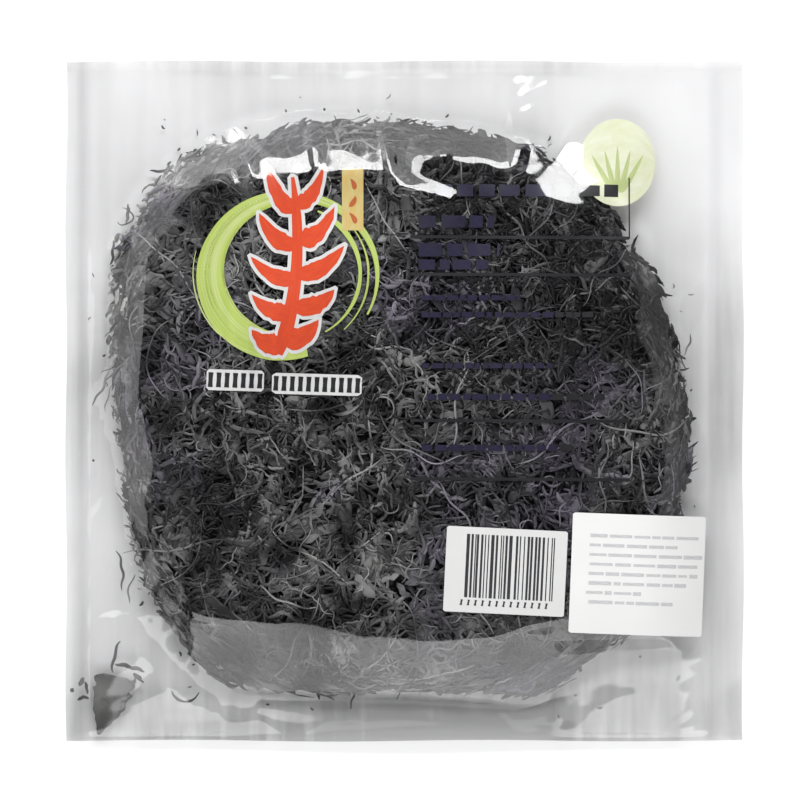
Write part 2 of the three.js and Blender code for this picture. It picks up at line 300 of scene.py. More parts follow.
# Elsewhere it has sharp little creases, deepest in the margin and on the upper rim
loose = (1 - under_paper) * (1 - in_seal) * (1 - 0.9 * in_facet) * (1 - 0.7 * on_run)
patchy = 0.35 + 0.65 * ease(chart_noise(5, 11 * mm), -0.3, 0.5)
creased = 1 - 0.6 * ease(grid_y, 62 * mm, 90 * mm)
creased -= 0.9 * calm_corner + 0.5 * calm_right
on_top_rim = ease(share_of_cake, 0.78, 0.88) * fade(share_of_cake, 1.0, 1.06) * ease(grid_y, 30 * mm, 55 * mm)
margin_crease, cake_crease, margin_crinkle = 0.22 * mm, 0.03 * mm, 0.05 * mm
rim_crease, veil_crease, back_crease = 0.26 * mm, 0.05 * mm, 0.25 * mm
front_film += margin_crease * margin * loose * patchy * creased * sharp_folds(21, 15 * mm, 5)
front_film += cake_crease * over_cake * (1 - in_veil) * loose * patchy * sharp_folds(33, 17 * mm, 4)
front_film += margin_crinkle * margin * loose * creased * sharp_folds(45, 5 * mm, 4)
front_film += rim_crease * on_top_rim * loose * sharp_folds(71, 20 * mm, 4)
front_film += veil_crease * in_veil * loose * sharp_folds(83, 16 * mm, 4)
back_film += back_crease * margin * (1 - in_seal) * patchy * sharp_folds(57, 14 * mm, 4)
back_film = np.maximum(back_film, 0.1 * mm)
front_film = np.maximum(front_film, back_film + weld_gap)


def deselect():
    bpy.ops.object.select_all(action="DESELECT")


def set_points(piece, points):
    piece.data.vertices.foreach_set("co", np.ascontiguousarray(points, dtype=np.float32).ravel())
    piece.data.update()


def get_points(piece):
    points = np.empty(len(piece.data.vertices) * 3, np.float32)
    piece.data.vertices.foreach_get("co", points)
    return points.reshape(-1, 3).astype(float)


# The skin: a fine grid for the front sheet and a coarser one for the back, bridged round their edges
deselect()
bpy.ops.mesh.primitive_grid_add(x_subdivisions=chart_cells, y_subdivisions=chart_cells, size=1,
                                location=(0, 0, 0.5))
film = bpy.context.object
film.name = "film"
bpy.ops.object.transform_apply(location=True)
back_cells = 128
bpy.ops.mesh.primitive_grid_add(x_subdivisions=back_cells, y_subdivisions=back_cells, size=1,
                                location=(0, 0, -0.5))
bpy.ops.object.transform_apply(location=True)
bpy.ops.object.mode_set(mode="EDIT")
bpy.ops.mesh.select_all(action="SELECT")
bpy.ops.mesh.flip_normals()
bpy.ops.object.mode_set(mode="OBJECT")
film.select_set(True)
bpy.context.view_layer.objects.active = film
bpy.ops.object.join()
bpy.ops.object.mode_set(mode="EDIT")
bpy.ops.mesh.select_mode(type="EDGE")
bpy.ops.mesh.select_all(action="DESELECT")
bpy.ops.mesh.select_non_manifold()
bpy.ops.mesh.bridge_edge_loops()
bpy.ops.mesh.select_all(action="SELECT")
bpy.ops.mesh.normals_make_consistent(inside=False)
bpy.ops.object.mode_set(mode="OBJECT")
sheet = get_points(film)
film_x = (sheet[:, 0] + 0.5) * (bag_high.x - bag_low.x) + bag_low.x
film_y = (sheet[:, 1] + 0.5) * (bag_high.y - bag_low.y) + bag_low.y
film_z = np.where(sheet[:, 2] > 0, on_chart(front_film, film_x, film_y), on_chart(back_film, film_x, film_y))

# Where the sheets are welded: a line pressed by the sealing bars along the left, right, top and bottom of the
# bag, with its place and half width in millimetres, how hard it is pressed and how square its edges are
weld_lines = ((film_x, -114.4, 2.1, 1, 2), (film_x, 110.4, 2.2, 0.45, 4), (film_y, 117.9, 0.9, 0.7, 2),
              (film_y, -119.0, 0.7, 0.8, 2))
pressed = np.maximum.reduce([
    strength * np.exp(-((across - place * mm) / (half_width * mm)) ** square)
    for across, place, half_width, strength, square in weld_lines
])

# The haze in the film, partly the film's own haze and partly painted shade: thin at the top of the bag and
# thicker and darker below, with painted light in three lighter patches at the sides, milky and shaded along the
# bottom run and the bottom edge, and thicker in the top and bottom welds except at their ends
base_haze, lower_haze_and_shade, milky_haze_and_shade = 0.14, 0.28, 0.70
left_lighter, right_lighter, upper_lighter = 0.17, 0.24, 0.11
foot_haze_and_shade, left_foot_haze_and_shade = 0.12, 0.09
top_haze, top_edge_haze, bottom_haze = 0.16, 0.12, 0.30
wavy_y = film_y + 6 * mm * on_chart(chart_noise(81, 9 * mm), film_x, film_y)
haze_and_shade = base_haze + lower_haze_and_shade * fade(wavy_y, 8 * mm, 62 * mm)
haze_and_shade -= left_lighter * fade(film_x, -100 * mm, -90 * mm) * fade(wavy_y, -20 * mm, 30 * mm)
haze_and_shade -= right_lighter * ease(film_x, 96 * mm, 101 * mm) * fade(wavy_y, -36 * mm, 4 * mm)
haze_and_shade -= upper_lighter * ease(film_x, 42 * mm, 62 * mm) * ease(wavy_y, 56 * mm, 76 * mm)
haze_and_shade += fade(wavy_y, -105 * mm, -99 * mm) * (foot_haze_and_shade + left_foot_haze_and_shade * fade(film_x, -60 * mm, -30 * mm))
milky_shaded_run = on_chart(on_run, film_x, film_y) * ease(film_x, -50 * mm, -20 * mm)
haze_and_shade += milky_haze_and_shade * milky_shaded_run
off_ends = between(film_x, -95, -75, 55, 75)
in_top, on_top_edge = ease(film_y, 114.6 * mm, 116.2 * mm), ease(film_y, 117 * mm, 118.5 * mm)
haze_and_shade += top_haze * off_ends * in_top + top_edge_haze * on_top_edge
haze_and_shade += bottom_haze * off_ends * fade(film_y, -115.5 * mm, -112 * mm)

# Seaweed dust dulls the film along the upper foot of the cake, and where it lies on the cake's flat middle
upper_foot = np.exp(-((cake_share(film_x, film_y) - rim_foot) / 0.022) ** 2) * ease(film_y, 46 * mm, 72 * mm)
settled = fade(share_of_cake, 0.64, 0.80) * (1 - in_veil) * (1 - on_side)
settled *= fade(fold_share * fold_ends, 0, 0.1)
milky_dull, settled_dull = 0.7, 0.8
shine = 1 - upper_foot * (1 - on_chart(in_facet, film_x, film_y)) - milky_dull * milky_shaded_run
shine -= settled_dull * on_chart(settled, film_x, film_y)
for name, amounts in (("pressed", pressed), ("haze_and_shade", haze_and_shade), ("shine", shine)):
    layer = film.data.attributes.new(name, "FLOAT", "POINT")
    layer.data.foreach_set("value", amounts.astype(np.float32))
edge_wave = 0.3 * mm
film_x += edge_wave * np.sin(film_y / (13 * mm)) * (np.abs(sheet[:, 0]) * 2) ** 20
film_y += edge_wave * np.sin(film_x / (17 * mm)) * (np.abs(sheet[:, 1]) * 2) ** 20
set_points(film, np.stack([film_x, film_y, film_z], axis=1))
deselect()
film.select_set(True)
bpy.context.view_layer.objects.active = film
bpy.ops.object.shade_smooth_by_angle(angle=math.radians(50))


def new_finish(name):
    """A material, its nodes' tree and its shader."""
    finish = bpy.data.materials.new(name)
    finish.use_nodes = True
    return finish, finish.node_tree, finish.node_tree.nodes["Principled BSDF"]


def fill(tree, node, inputs):
    """Gives each input, by name or number, a value or another node's output."""
    for socket, value in inputs.items():
        if isinstance(value, bpy.types.NodeSocket):
            tree.links.new(value, node.inputs[socket])
        else:
            node.inputs[socket].default_value = value


def add(tree, kind, inputs, **settings):
    node = tree.nodes.new("ShaderNode" + kind)
    for setting, value in settings.items():
        setattr(node, setting, value)
    fill(tree, node, inputs)
    return node


def noise(tree, place, scale, detail, **more):
    return add(tree, "TexNoise", {"Vector": place, "Scale": scale, "Detail": detail, **more}).outputs["Fac"]


def ranged(tree, value, low, high, value_low=0, value_high=1):
    """A value that runs from value_low to value_high, turned to run from low to high."""
    return add(tree, "MapRange", {"Value": value, "From Min": value_low, "From Max": value_high,
                                  "To Min": low, "To Max": high}).outputs["Result"]


def maths(tree, operation, *values, clamp=False):
    return add(tree, "Math", dict(enumerate(values)), operation=operation, use_clamp=clamp).outputs[0]


def mixed(tree, share, first, second, way="MIX"):
    """A colour between two others, which are sockets or red, green and blue."""
    first, second = [(*colour, 1) if isinstance(colour, tuple) else colour for colour in (first, second)]
    return add(tree, "Mix", {"Factor": share, "A": first, "B": second}, data_type="RGBA",
               blend_type=way).outputs["Result"]


def relief(tree, height, strength, distance):
    return add(tree, "Bump", {"Height": height, "Strength": strength, "Distance": distance}).outputs["Normal"]


def layer_of(tree, name):
    return add(tree, "Attribute", {}, attribute_name=name).outputs["Fac"]


film_finish, tree, shader = new_finish("clear_film")
tree.nodes.remove(shader)
place = add(tree, "TexCoord", {}).outputs["Object"]
weld_share = layer_of(tree, "pressed")
crimps = add(tree, "TexWave", {"Vector": place, "Scale": 260, "Distortion": 1.5}, wave_type="BANDS",
             bands_direction="DIAGONAL").outputs["Fac"]
crimped = maths(tree, "MULTIPLY_ADD", crimps, weld_share, noise(tree, place, 160, 2))
film_relief = relief(tree, crimped, 0.05, 0.15 * mm)
scuffs = noise(tree, place, 24, 5)
drawn_out = add(tree, "Mapping", {"Vector": place, "Scale": (1, 0.05, 1)}).outputs["Vector"]
uneven = ranged(tree, maths(tree, "MULTIPLY", scuffs, noise(tree, drawn_out, 230, 2)), 0.55, 1.45, 0.13, 0.37)
# The see-through tint darkens with the haze layer, which holds painted shade as well as the film's haze
hazy_and_shaded = maths(tree, "MULTIPLY", layer_of(tree, "haze_and_shade"), uneven, clamp=True)
tint = mixed(tree, hazy_and_shaded, (0.975, 0.975, 0.978), (0.73, 0.73, 0.732))
tint = mixed(tree, weld_share, tint, (0.935, 0.935, 0.937), "MULTIPLY")
clear = add(tree, "BsdfTransparent", {"Color": tint}).outputs[0]
gloss = add(tree, "BsdfGlossy", {"Normal": film_relief, "Roughness": ranged(tree, weld_share, 0.07, 0.16)})

# The share that a sheet mirrors, the same from inside the bag as from outside: about 8 percent straight on
facing = add(tree, "LayerWeight", {"Blend": 0.5, "Normal": film_relief}).outputs["Facing"]
straight_on = ranged(tree, scuffs, 0.062, 0.098, 0.3, 0.7)
mirror_share = ranged(tree, maths(tree, "POWER", facing, 5), straight_on, 0.9)
mirrored = maths(tree, "MULTIPLY", mirror_share, layer_of(tree, "shine"))
skin = add(tree, "MixShader", {"Fac": mirrored, 1: clear, 2: gloss.outputs[0]})
tree.links.new(skin.outputs[0], tree.nodes["Material Output"].inputs["Surface"])
film.data.materials.append(film_finish)
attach(film, "root")
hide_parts("bag")


# The print on the film's inner face: a green brush ring round a red frond sprig with a white edge, an orange
# tab, two bars of black blocks, a ruled panel and a pale roundel. Each mark is a thin strip of ink that follows
# the film just under its front, with the white shapes deeper than the marks printed over them.
ink_depth = 0.10 * mm
edge_depth = 0.16 * mm
ring_depth = 0.24 * mm
ink_thickness = 0.03 * mm


def ribbon(line, widths, lift, cells=4):
    """A flat strip along a line of points on the film's front, as wide as `widths` says from end to end."""
    line = np.asarray(line)
    deselect()
    bpy.ops.mesh.primitive_grid_add(x_subdivisions=len(line) - 1, y_subdivisions=cells, size=1)
    strip = bpy.context.object
    flat = get_points(strip)
    along = flat[:, 0] + 0.5
    places = np.linspace(0, 1, len(line))
    heading = np.gradient(line, axis=0)
    heading /= np.linalg.norm(heading, axis=1, keepdims=True)
    across = flat[:, 1] * np.interp(along, np.linspace(0, 1, len(widths)), widths)
    x = np.interp(along, places, line[:, 0]) - np.interp(along, places, heading[:, 1]) * across
    y = np.interp(along, places, line[:, 1]) + np.interp(along, places, heading[:, 0]) * across
    set_points(strip, np.stack([x, y, on_chart(front_film, x, y) + lift], axis=1))
    return strip


def joined(name, strips, thickness, node, finish):
    """Joins strips in one piece and gives them their thickness."""
    deselect()
    for strip in strips:
        strip.select_set(True)
    bpy.context.view_layer.objects.active = strips[0]
    bpy.ops.object.join()
    piece = bpy.context.object
    piece.name = name
    bpy.ops.object.modifier_add(type="SOLIDIFY")
    piece.modifiers[0].thickness = thickness
    piece.modifiers[0].offset = 0
    bpy.ops.object.modifier_apply(modifier=piece.modifiers[0].name)
    bpy.ops.object.shade_smooth_by_angle(angle=math.radians(50))
    piece.data.materials.clear()
    piece.data.materials.append(finish)
    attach(piece, "root")
    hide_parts(node)


def ink_finish(name, colour, second, streaks):
    """Printing ink: two tones in streaks along each mark, with a soft gloss."""
    finish, tree, shader = new_finish(name)
    place = add(tree, "TexCoord", {}).outputs["UV"]
    stretched = add(tree, "Mapping", {"Vector": place, "Scale": (3, streaks, 1)}).outputs["Vector"]
    grain = noise(tree, stretched, 1, 6, Roughness=0.65)
    fill(tree, shader, {
        "Base Color": mixed(tree, ranged(tree, grain, 0, 1, 0.38, 0.66), colour, second),
        "Roughness": ranged(tree, grain, 0.35, 0.6),
        "Normal": relief(tree, grain, 0.15, 0.1 * mm),
    })
    return finish


def printed(name, strips, finish):
    joined(name, strips, ink_thickness, "bag", finish)


def arc(middle, radii, start, stop, points):
    turn = np.radians(np.linspace(start, stop, points))
    spread = np.interp(np.linspace(0, 1, points), np.linspace(0, 1, len(radii)), radii)
    squash = 0.93
    return np.stack([middle[0] + spread * np.cos(turn), middle[1] + squash * spread * np.sin(turn)], axis=1)


def bow(start, bend, stop, points=14):
    """A curve from start to stop, drawn towards bend."""
    share = np.linspace(0, 1, points)[:, None]
    start, bend, stop = np.array(start), np.array(bend), np.array(stop)
    return (1 - share) ** 2 * start + 2 * share * (1 - share) * bend + share ** 2 * stop


def blade(width, points=14, point_of=1.5):
    """Widths of a leaf-shaped mark."""
    share = np.linspace(0, 1, points)
    return np.maximum(width * np.sin(math.pi * share ** (1 / point_of)) ** 0.7, 0.1 * mm)


# The ring is one broad stroke with the streaks of a brush's bristles on it, and three thin strokes beside it.
# Radii and widths run from the stroke's start to its stop.
ring_middle = (-41.4 * mm, 44.5 * mm)
rng = np.random.default_rng(87)
broad_radii = np.array([28, 27.4, 27, 27.5, 29, 30.8, 31.8, 32]) * mm
broad_widths = np.array([7.5, 10.5, 11.6, 11.4, 10.6, 9.0, 7.4, 5.6, 3.8, 3.0, 2.2, 1.4, 0.7]) * mm
broad_start, broad_stop = -76, -388
bristles = 11
bristle_lift = 0.04 * mm
ring_strips = [ribbon(arc(ring_middle, broad_radii, broad_start, broad_stop, 110), broad_widths * 0.93,
                      -ring_depth, 12)]
pale_strips, dark_strips = [], []
for bristle in range(bristles):
    off_centre = rng.uniform(-0.46, 0.46)
    first = broad_start - rng.uniform(0, 60)
    last = broad_stop + rng.uniform(10, 170)
    shares = (broad_start - np.linspace(first, last, 100)) / (broad_start - broad_stop)
    radii = np.interp(shares, np.linspace(0, 1, len(broad_radii)), broad_radii)
    radii += off_centre * np.interp(shares, np.linspace(0, 1, len(broad_widths)), broad_widths)
    radii += 0.12 * mm * np.sin(np.linspace(0, rng.uniform(5, 14), 100) + rng.uniform(0, 6))
    thin = rng.uniform(0.3, 1.3) * mm
    streak = ribbon(arc(ring_middle, radii, first, last, 100), [0.1 * mm, thin, thin * 0.8, 0.1 * mm],
                    -ring_depth + bristle_lift, 2)
    (pale_strips if bristle % 3 else dark_strips).append(streak)
outer_edge = arc(ring_middle, np.array([31.6, 33.0, 33.1, 33.4]) * mm, -112, -196, 50)
pale_strips.append(ribbon(outer_edge, np.array([0.2, 0.5, 0.5, 0.2]) * mm, -ring_depth, 2))
inner_stroke = arc(ring_middle, [26.5 * mm, 26 * mm, 25.6 * mm, 25.4 * mm], 66, -58, 60)
hair_stroke = arc(ring_middle, [29.2 * mm, 28.6 * mm, 28.8 * mm], 38, -46, 40)
ring_strips.append(ribbon(inner_stroke, np.array([0.6, 2.0, 1.7, 1.2, 1.4, 0.9, 0.5]) * mm, -ring_depth))
ring_strips.append(ribbon(hair_stroke, np.array([0.3, 0.8, 0.7, 0.3]) * mm, -ring_depth))
printed("print_ring", ring_strips, ink_finish("ink_green", (0.42, 0.55, 0.10), (0.54, 0.63, 0.20), 14))
printed("print_ring_pale", pale_strips,
        ink_finish("ink_pale_streak", (0.50, 0.60, 0.18), (0.64, 0.70, 0.36), 3))
printed("print_ring_deep", dark_strips,
        ink_finish("ink_deep_streak", (0.36, 0.48, 0.08), (0.45, 0.56, 0.13), 3))

# The sprig is a stem with pairs of leaves, red on a white shape that shows as its edge
sprig_root, sprig_bend, sprig_tip = (-44.5, 16.5), (-34.5, 44), (-39.5, 79)
stem_curve = bow(sprig_root, sprig_bend, sprig_tip, 101)
stem_widths = np.interp(np.linspace(0, 1, 40), [0, 0.12, 0.5, 0.8, 1], [3.0, 5.2, 4.0, 3.4, 1.2])
sprig = [(bow(sprig_root, sprig_bend, sprig_tip, 40), stem_widths * mm)]
leaf_pairs = 5
for pair in range(leaf_pairs):
    for side in (-1, 1):
        share = 0.08 + 0.76 * (pair + (0.18 if side > 0 else 0)) / (leaf_pairs - 1)
        stem = stem_curve[int(share * 100)]
        length = 16.8 - 3.0 * abs(pair - 1.7) + rng.uniform(-1.2, 1.2)
        rise = 4.5 + 2.3 * pair + rng.uniform(-1.6, 1.6)
        tip = (stem[0] + side * length, stem[1] + rise)
        bend = (stem[0] + side * length * rng.uniform(0.45, 0.62), stem[1] - 3.0 + 0.5 * pair)
        leaf_widths = blade(7.2 - 0.4 * pair + rng.uniform(-0.6, 0.6), 14, rng.uniform(1.2, 1.9))
        sprig.append((bow(stem, bend, tip), leaf_widths * (1 + 0.07 * rng.normal(size=14)) * mm))
white_edge = 1.25 * mm
edge_strips, red_strips = [], []
for line, widths in sprig:
    line = np.array(line) * mm
    ahead = (line[-1] - line[-2]) / np.linalg.norm(line[-1] - line[-2])
    behind = (line[0] - line[1]) / np.linalg.norm(line[0] - line[1])
    longer = np.concatenate([[line[0] + behind * white_edge], line, [line[-1] + ahead * white_edge]])
    wider = np.concatenate([[widths[0] + white_edge], widths + 2 * white_edge, [white_edge]])
    edge_strips.append(ribbon(longer, wider, -edge_depth))
    red_strips.append(ribbon(line, widths, -ink_depth))

# Under it are two white bars with a row of black blocks on each: from, to, and how many blocks
bars = (((-69.9, 7.6), (-49.6, 7.0), 7), ((-46.8, 6.3), (-15.1, 5.4), 11))
bar_height, bar_end, block_share, block_half, block_lean = 7.4, 5.6, 0.62, 2.6, 0.15
block_strips = []
for start, stop, blocks in bars:
    rounded = np.concatenate([[bar_end], np.full(22, bar_height), [bar_end]]) * mm
    edge_strips.append(ribbon(np.linspace(start, stop, 24) * mm, rounded, -edge_depth))
    for block in range(blocks):
        middle = np.array(start) + (np.array(stop) - np.array(start)) * (block + 0.5) / blocks
        width = block_share * (stop[0] - start[0]) / blocks
        foot, head = middle - (block_lean, block_half), middle + (block_lean, block_half)
        block_strips.append(ribbon(np.linspace(foot, head, 6) * mm, np.array([width, width * 0.8, width]) * mm,
                                   -ink_depth, 2))
printed("print_white", edge_strips, ink_finish("ink_white", (0.70, 0.70, 0.69), (0.62, 0.62, 0.61), 6))
printed("print_red", red_strips, ink_finish("ink_red", (0.70, 0.075, 0.013), (0.60, 0.045, 0.014), 9))

tab_line = np.linspace((-18.3, 60.2), (-18.3, 82), 24) * mm
tab_width = 7.6 * mm
printed("print_tab", [ribbon(tab_line, np.full(2, tab_width), -edge_depth)],
        ink_finish("ink_orange", (0.62, 0.42, 0.13), (0.58, 0.53, 0.24), 3))
mark_strips = []
for low, sway in ((62.5, 1.2), (68.5, -1.0), (74.5, 0.8)):
    line = bow((-18.6 + sway, low), (-17.2, low + 2), (-18.4 - sway, low + 4), 8) * mm
    mark_strips.append(ribbon(line, blade(1.8, 8) * mm, -ink_depth))
printed("print_tab_marks", mark_strips, ink_finish("ink_rust", (0.50, 0.12, 0.03), (0.42, 0.10, 0.03), 3))

# The panel is ruled off by black lines, and its words are plain dark blocks in rows, navy on the left and
# black on the right. Each row has its height up the bag, its start and stop, and the height of its blocks.
rule_width, upright_width = 1.1 * mm, 0.5 * mm
for rule_y in (58.0, 44.8, -6.8, -27.4):
    block_strips.append(ribbon(np.linspace((2, rule_y), (79.5, rule_y - 0.4), 70) * mm, [rule_width] * 2,
                               -ink_depth, 2))
block_strips.append(ribbon(np.linspace((79.5, 79), (79.5, 57.4), 20) * mm, [upright_width] * 2, -ink_depth, 2))
word_rows = ((74.4, 11, 75, 4.4), (63.4, 5, 31, 4.6), (53.4, 5, 33, 4.8), (48.2, 5, 29, 3.8),
             (36.5, 6, 40, 2.0), (30.5, 6, 66, 2.0), (12.5, 6, 52, 2.0), (1.5, 8, 70, 2.4), (-16.5, 6, 60, 2.4))
navy_stop = 52
rng = np.random.default_rng(91)
navy_strips = []
for row_y, word_start, row_stop, height in word_rows:
    while word_start < row_stop:
        word = min(rng.uniform(0.9, 2.2) * height, row_stop - word_start + 0.6)
        line = np.linspace((word_start, row_y), (word_start + word, row_y - 0.1), 10) * mm
        strip = ribbon(line, [height * mm, height * rng.uniform(0.75, 1) * mm], -ink_depth, 2)
        (navy_strips if word_start < navy_stop else block_strips).append(strip)
        word_start += word + height * rng.uniform(0.25, 0.5)
printed("print_black", block_strips, ink_finish("ink_black", (0.006, 0.006, 0.008), (0.012, 0.012, 0.016), 5))
printed("print_navy", navy_strips, ink_finish("ink_navy", (0.006, 0.004, 0.024), (0.012, 0.009, 0.042), 5))

# The roundel is a pale round field with five blades that fan out on it
frond_depth = 0.13 * mm
roundel_line = np.linspace((61.9, 84.4), (88.9, 84.4), 40) * mm
roundel_widths = 31 * np.sqrt(np.clip(1 - np.linspace(-1, 1, 40) ** 2, 0.0004, 1)) * mm
printed("print_roundel", [ribbon(roundel_line, roundel_widths, -edge_depth, 30)],
        ink_finish("ink_pale_green", (0.66, 0.69, 0.46), (0.75, 0.77, 0.62), 7))
fan_strips = []
for side in (-2, -1, 0, 1, 2):
    tip = (75.4 + 4.6 * side, 90.5 - 1.6 * abs(side))
    line = bow((75.4 + 0.6 * side, 73.5), (75.4 + 2.4 * side, 79), tip, 12) * mm
    fan_strips.append(ribbon(line, blade(1.9, 12) * mm, -frond_depth))
printed("print_roundel_fronds", fan_strips, ink_finish("ink_sage", (0.42, 0.50, 0.20), (0.52, 0.58, 0.28), 4))


# The two stickers: smooth coated paper stuck on the film's front, a little askew. One carries plain black
# bars over a row of ticks and the other eight grey rows, all printed on the paper.
paper_lift = 0.45 * mm
paper_thickness = 0.12 * mm
bar_ink = 0.02 * mm
ink_lift = paper_lift + paper_thickness / 2 + 0.012 * mm


def paper_finish(name, tone, stain):
    finish, tree, shader = new_finish(name)
    place = add(tree, "TexCoord", {}).outputs["Object"]
    fibre = noise(tree, place, 2500, 3)
    white, stained = (tone, tone, tone * 0.995), (tone * stain, tone * stain, tone * stain * 0.99)
    fill(tree, shader, {
        "Base Color": mixed(tree, noise(tree, place, 60, 3), white, stained),
        "Roughness": ranged(tree, fibre, 0.5, 0.65),
        "Normal": relief(tree, fibre, 0.2, 0.02 * mm),
    })
    return finish


def on_sticker(middle, turn, points):
    """From a sticker's own right and up, in millimetres, to the bag's, in metres."""
    lean = math.radians(turn)
    points = np.asarray(points) * mm
    x = middle[0] * mm + points[:, 0] * math.cos(lean) - points[:, 1] * math.sin(lean)
    y = middle[1] * mm + points[:, 0] * math.sin(lean) + points[:, 1] * math.cos(lean)
    return np.stack([x, y], axis=1)


def sticker_sheet(name, node, middle, turn, width, height, finish):
    line = on_sticker(middle, turn, np.linspace((-width / 2, 0), (width / 2, 0), 61))
    corner = 0.5
    ends = [height - 2 * corner] + [height] * 59 + [height - 2 * corner]
    joined(name, [ribbon(line, np.array(ends) * mm, paper_lift, 40)], paper_thickness, node, finish)


barcode_middle, barcode_turn = (35.6, -60.1), -2.8
sticker_sheet("barcode_sticker", "label_barcode", barcode_middle, barcode_turn, 42.7, 30.2,
              paper_finish("barcode_paper", 0.62, 0.9))
rng = np.random.default_rng(17)
bar_strips = []
bar_start, bars_stop, bar_low, bar_high = -13.6, 16.8, -9.8, 12.6
while bar_start < bars_stop:
    width = rng.choice([0.42, 0.8, 1.15, 1.5], p=[0.4, 0.35, 0.17, 0.08])
    upright = np.linspace((bar_start, bar_low), (bar_start, bar_high), 20)
    line = on_sticker(barcode_middle, barcode_turn, upright)
    bar_strips.append(ribbon(line, [width * mm] * 2, ink_lift, 1))
    bar_start += width + rng.choice([0.35, 0.7, 1.05], p=[0.45, 0.35, 0.2])
tick_count, first_tick, tick_step = 13, -15.2, 2.5
for tick in range(tick_count):
    tick_x = first_tick + tick_step * tick
    line = on_sticker(barcode_middle, barcode_turn, np.linspace((tick_x, -12.6), (tick_x + 0.3, -10.6), 4))
    bar_strips.append(ribbon(line, np.array([0.9, 0.5, 0.9]) * mm, ink_lift, 1))
joined("barcode_bars", bar_strips, bar_ink, "label_barcode",
       ink_finish("ink_bars", (0.012, 0.012, 0.016), (0.03, 0.03, 0.035), 2))

info_middle, info_turn = (82.3, -61.4), -2.2
sticker_sheet("info_sticker", "label_info", info_middle, info_turn, 47.4, 42.5,
              paper_finish("info_paper", 0.72, 0.93))
row_strips = []
first_row, row_step, shortest_word = 13.4, 3.35, 1.5
for row, row_stop in enumerate((22.2, 14.5, 22.5, 21, 21, 17, 1, 14)):
    row_y = first_row - row_step * row
    word_start = rng.uniform(-18.5, -16.5)
    while word_start < row_stop:
        word = min(rng.uniform(2.5, 9), row_stop - word_start + 0.4)
        level = np.linspace((word_start, row_y), (word_start + word, row_y), 8)
        line = on_sticker(info_middle, info_turn, level)
        row_strips.append(ribbon(line, [rng.uniform(0.9, 1.4) * mm] * 2, ink_lift, 1))
        word_start += word + rng.uniform(0.5, 0.9)
        if row_stop - word_start < shortest_word:
            break
joined("info_rows", row_strips, bar_ink, "label_info",
       ink_finish("ink_grey", (0.40, 0.40, 0.41), (0.60, 0.60, 0.61), 3))


# The cake's core: matted seaweed too deep to see as single fronds, pressed dry between the two sheets of film
# and coloured near black, painted shade for the depth of the tangle. It is a closed lumpy body a few
# millimetres inside them, and the fronds lie on it.
film_clear, core_clear = 0.3 * mm, 0.8 * mm
tangle_lift, tangle_depth = 0.3 * mm, 1.3 * mm
core_depth = 2.6 * mm
core_share = 0.955
torn_depth, torn_less_below = 1.5 * mm, 0.8 * mm

# Where the cake's ragged rim falls short of its smooth round or reaches past it: heading and half width in
# degrees, reach in millimetres
rim_reaches = ((36, 4.5, -6.0), (50, 5, -4.0), (119, 7, -5.2), (142.5, 3, -3.2), (163, 11, -1.6), (235, 6, 4.0),
               (266, 18, -5.8), (297, 5, 5.5), (341, 4.5, -6.5))

# The room between the sheets, and the uneven top to which the film presses the tangle
contents_top = np.maximum(front_film - film_clear, back_film)
contents_low = np.minimum(back_film + film_clear, contents_top)
tangle = np.abs(chart_noise(61, 1.9 * mm)) + 0.5 * np.abs(chart_noise(62, 4.5 * mm))
pressed_top = np.minimum(lumpy + tangle_lift - tangle_depth * tangle, contents_top)


def torn_edge(angle):
    """How far the cake's ragged outline runs out of its smooth one."""
    rng = np.random.default_rng(71)
    wobble = np.zeros(np.shape(angle))
    for waves in range(5, 64, 4):
        wobble += rng.normal() / math.sqrt(waves) * np.sin(waves * angle + rng.uniform(0, 2 * math.pi))
    edge = (torn_depth - torn_less_below * np.clip(-np.sin(angle), 0, 1) ** 2) * wobble
    for heading, half_width, reach in rim_reaches:
        off = (np.degrees(angle) - heading + 180) % 360 - 180
        edge += reach * mm * np.exp(-(off / half_width) ** 2)
    return edge


deselect()
bpy.ops.mesh.primitive_uv_sphere_add(segments=180, ring_count=90, radius=1)
cake_core = bpy.context.object
cake_core.name = "cake_core"
ball = get_points(cake_core)
flat = np.hypot(ball[:, 0], ball[:, 1])
turn = np.arctan2(ball[:, 1], ball[:, 0])
reach = np.arcsin(np.clip(flat, 0, 1)) / (math.pi / 2) * core_share
core_radius = reach * (cake_radius(turn) + np.minimum(torn_edge(turn), 0))
core_x = cake_middle[0] + core_radius * np.cos(turn)
core_y = cake_middle[1] + core_radius * np.sin(turn)
core_top = on_chart(pressed_top - core_depth, core_x, core_y)
core_low = on_chart(contents_low + core_clear, core_x, core_y)
middle = (core_top + core_low) / 2
round_off = np.sqrt(np.clip(1 - (reach / core_share) ** 8, 0, 1))
least_core = 0.5 * mm
core_z = middle + np.sign(ball[:, 2]) * round_off * np.maximum(core_top - core_low, least_core) / 2
set_points(cake_core, np.stack([core_x, core_y, core_z], axis=1))


